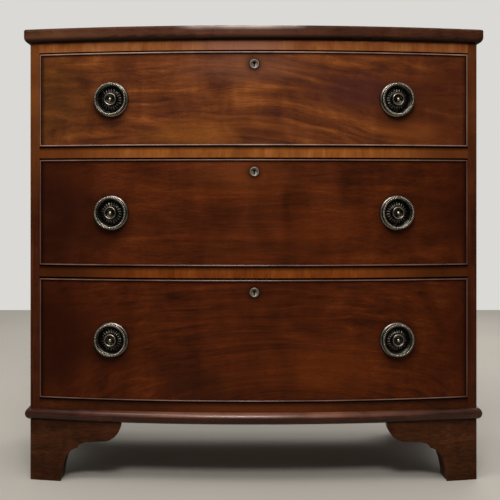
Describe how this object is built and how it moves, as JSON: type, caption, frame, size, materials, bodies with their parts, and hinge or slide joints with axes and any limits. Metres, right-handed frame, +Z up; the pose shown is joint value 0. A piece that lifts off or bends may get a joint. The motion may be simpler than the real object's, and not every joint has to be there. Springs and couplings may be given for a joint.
{
  "type": "chest of drawers",
  "caption": "Antique mahogany chest with a bowed front, graduated long drawers with cock beads, round brass ring pulls, lock escutcheons and bracket feet.",
  "frame": {"origin": "on the floor, at the centre of the box round the whole chest", "axes": "+X to the right seen from the front, +Y to the back, +Z up"},
  "size_m": [0.8818, 0.51, 0.866],
  "materials": {
    "mahogany": "waxed dark red-brown",
    "crossbanded_mahogany": "waxed orange-brown, grain upright",
    "oak": "bare, planed",
    "pine": "bare, rough, darkened",
    "brass": "aged, worn bright",
    "iron": "dull"
  },
  "bodies": {
    "carcass": {"top": "mahogany", "side_left": "mahogany", "side_right": "mahogany", "top_rail_front": "crossbanded_mahogany", "divider_upper": "crossbanded_mahogany", "divider_lower": "crossbanded_mahogany", "bottom_rail": "mahogany", "back_rails": "pine", "dustboards": "pine", "bottom_board": "pine", "drawer_runners": "pine", "drawer_stops": "pine", "back_boards": "pine", "nails_and_screws": "iron", "base_moulding_front": "mahogany", "base_moulding_left": "mahogany", "base_moulding_right": "mahogany", "foot_front_left": "mahogany", "foot_front_right": "mahogany", "foot_rear_left": "mahogany", "foot_rear_right": "mahogany"},
    "top_drawer": {"top_drawer_front": "mahogany", "top_drawer_side_left": "oak", "top_drawer_side_right": "oak", "top_drawer_back": "oak", "top_drawer_bottom": "oak", "top_drawer_cockbeads": "mahogany", "top_drawer_lock": "brass", "top_drawer_escutcheon": "brass", "top_drawer_rosettes": "brass", "top_drawer_handle_bolts": "brass"},
    "top_drawer_lock_bolt": {"top_drawer_lock_bolt": "brass"},
    "top_drawer_ring_left": {"top_drawer_ring_left": "brass"},
    "top_drawer_ring_right": {"top_drawer_ring_right": "brass"},
    "middle_drawer": {"middle_drawer_front": "mahogany", "middle_drawer_side_left": "oak", "middle_drawer_side_right": "oak", "middle_drawer_back": "oak", "middle_drawer_bottom": "oak", "middle_drawer_cockbeads": "mahogany", "middle_drawer_lock": "brass", "middle_drawer_escutcheon": "brass", "middle_drawer_rosettes": "brass", "middle_drawer_handle_bolts": "brass"},
    "middle_drawer_lock_bolt": {"middle_drawer_lock_bolt": "brass"},
    "middle_drawer_ring_left": {"middle_drawer_ring_left": "brass"},
    "middle_drawer_ring_right": {"middle_drawer_ring_right": "brass"},
    "bottom_drawer": {"bottom_drawer_front": "mahogany", "bottom_drawer_side_left": "oak", "bottom_drawer_side_right": "oak", "bottom_drawer_back": "oak", "bottom_drawer_bottom": "oak", "bottom_drawer_cockbeads": "mahogany", "bottom_drawer_lock": "brass", "bottom_drawer_escutcheon": "brass", "bottom_drawer_rosettes": "brass", "bottom_drawer_handle_bolts": "brass"},
    "bottom_drawer_lock_bolt": {"bottom_drawer_lock_bolt": "brass"},
    "bottom_drawer_ring_left": {"bottom_drawer_ring_left": "brass"},
    "bottom_drawer_ring_right": {"bottom_drawer_ring_right": "brass"}
  },
  "joints": [
    {"name": "top_drawer_slide", "type": "slide", "parent": "carcass", "child": "top_drawer", "axis": [0, -1, 0], "range_m": [0, 0.33]},
    {"name": "top_drawer_lock_bolt_slide", "type": "slide", "parent": "top_drawer", "child": "top_drawer_lock_bolt", "axis": [0, 0, 1], "range_m": [0, 0.008]},
    {"name": "top_drawer_ring_left_swing", "type": "hinge", "parent": "top_drawer", "child": "top_drawer_ring_left", "pos_m": [-0.2724, -0.2352, 0.758], "axis": [-0.9878, 0.1554, 0], "range_deg": [0, 85]},
    {"name": "top_drawer_ring_right_swing", "type": "hinge", "parent": "top_drawer", "child": "top_drawer_ring_right", "pos_m": [0.2724, -0.2352, 0.758], "axis": [-0.9878, -0.1554, 0], "range_deg": [0, 85]},
    {"name": "middle_drawer_slide", "type": "slide", "parent": "carcass", "child": "middle_drawer", "axis": [0, -1, 0], "range_m": [0, 0.33]},
    {"name": "middle_drawer_lock_bolt_slide", "type": "slide", "parent": "middle_drawer", "child": "middle_drawer_lock_bolt", "axis": [0, 0, 1], "range_m": [0, 0.008]},
    {"name": "middle_drawer_ring_left_swing", "type": "hinge", "parent": "middle_drawer", "child": "middle_drawer_ring_left", "pos_m": [-0.2724, -0.2352, 0.54325], "axis": [-0.9878, 0.1554, 0], "range_deg": [0, 85]},
    {"name": "middle_drawer_ring_right_swing", "type": "hinge", "parent": "middle_drawer", "child": "middle_drawer_ring_right", "pos_m": [0.2724, -0.2352, 0.54325], "axis": [-0.9878, -0.1554, 0], "range_deg": [0, 85]},
    {"name": "bottom_drawer_slide", "type": "slide", "parent": "carcass", "child": "bottom_drawer", "axis": [0, -1, 0], "range_m": [0, 0.33]},
    {"name": "bottom_drawer_lock_bolt_slide", "type": "slide", "parent": "bottom_drawer", "child": "bottom_drawer_lock_bolt", "axis": [0, 0, 1], "range_m": [0, 0.008]},
    {"name": "bottom_drawer_ring_left_swing", "type": "hinge", "parent": "bottom_drawer", "child": "bottom_drawer_ring_left", "pos_m": [-0.2724, -0.2352, 0.3025], "axis": [-0.9878, 0.1554, 0], "range_deg": [0, 85]},
    {"name": "bottom_drawer_ring_right_swing", "type": "hinge", "parent": "bottom_drawer", "child": "bottom_drawer_ring_right", "pos_m": [0.2724, -0.2352, 0.3025], "axis": [-0.9878, -0.1554, 0], "range_deg": [0, 85]}
  ]
}
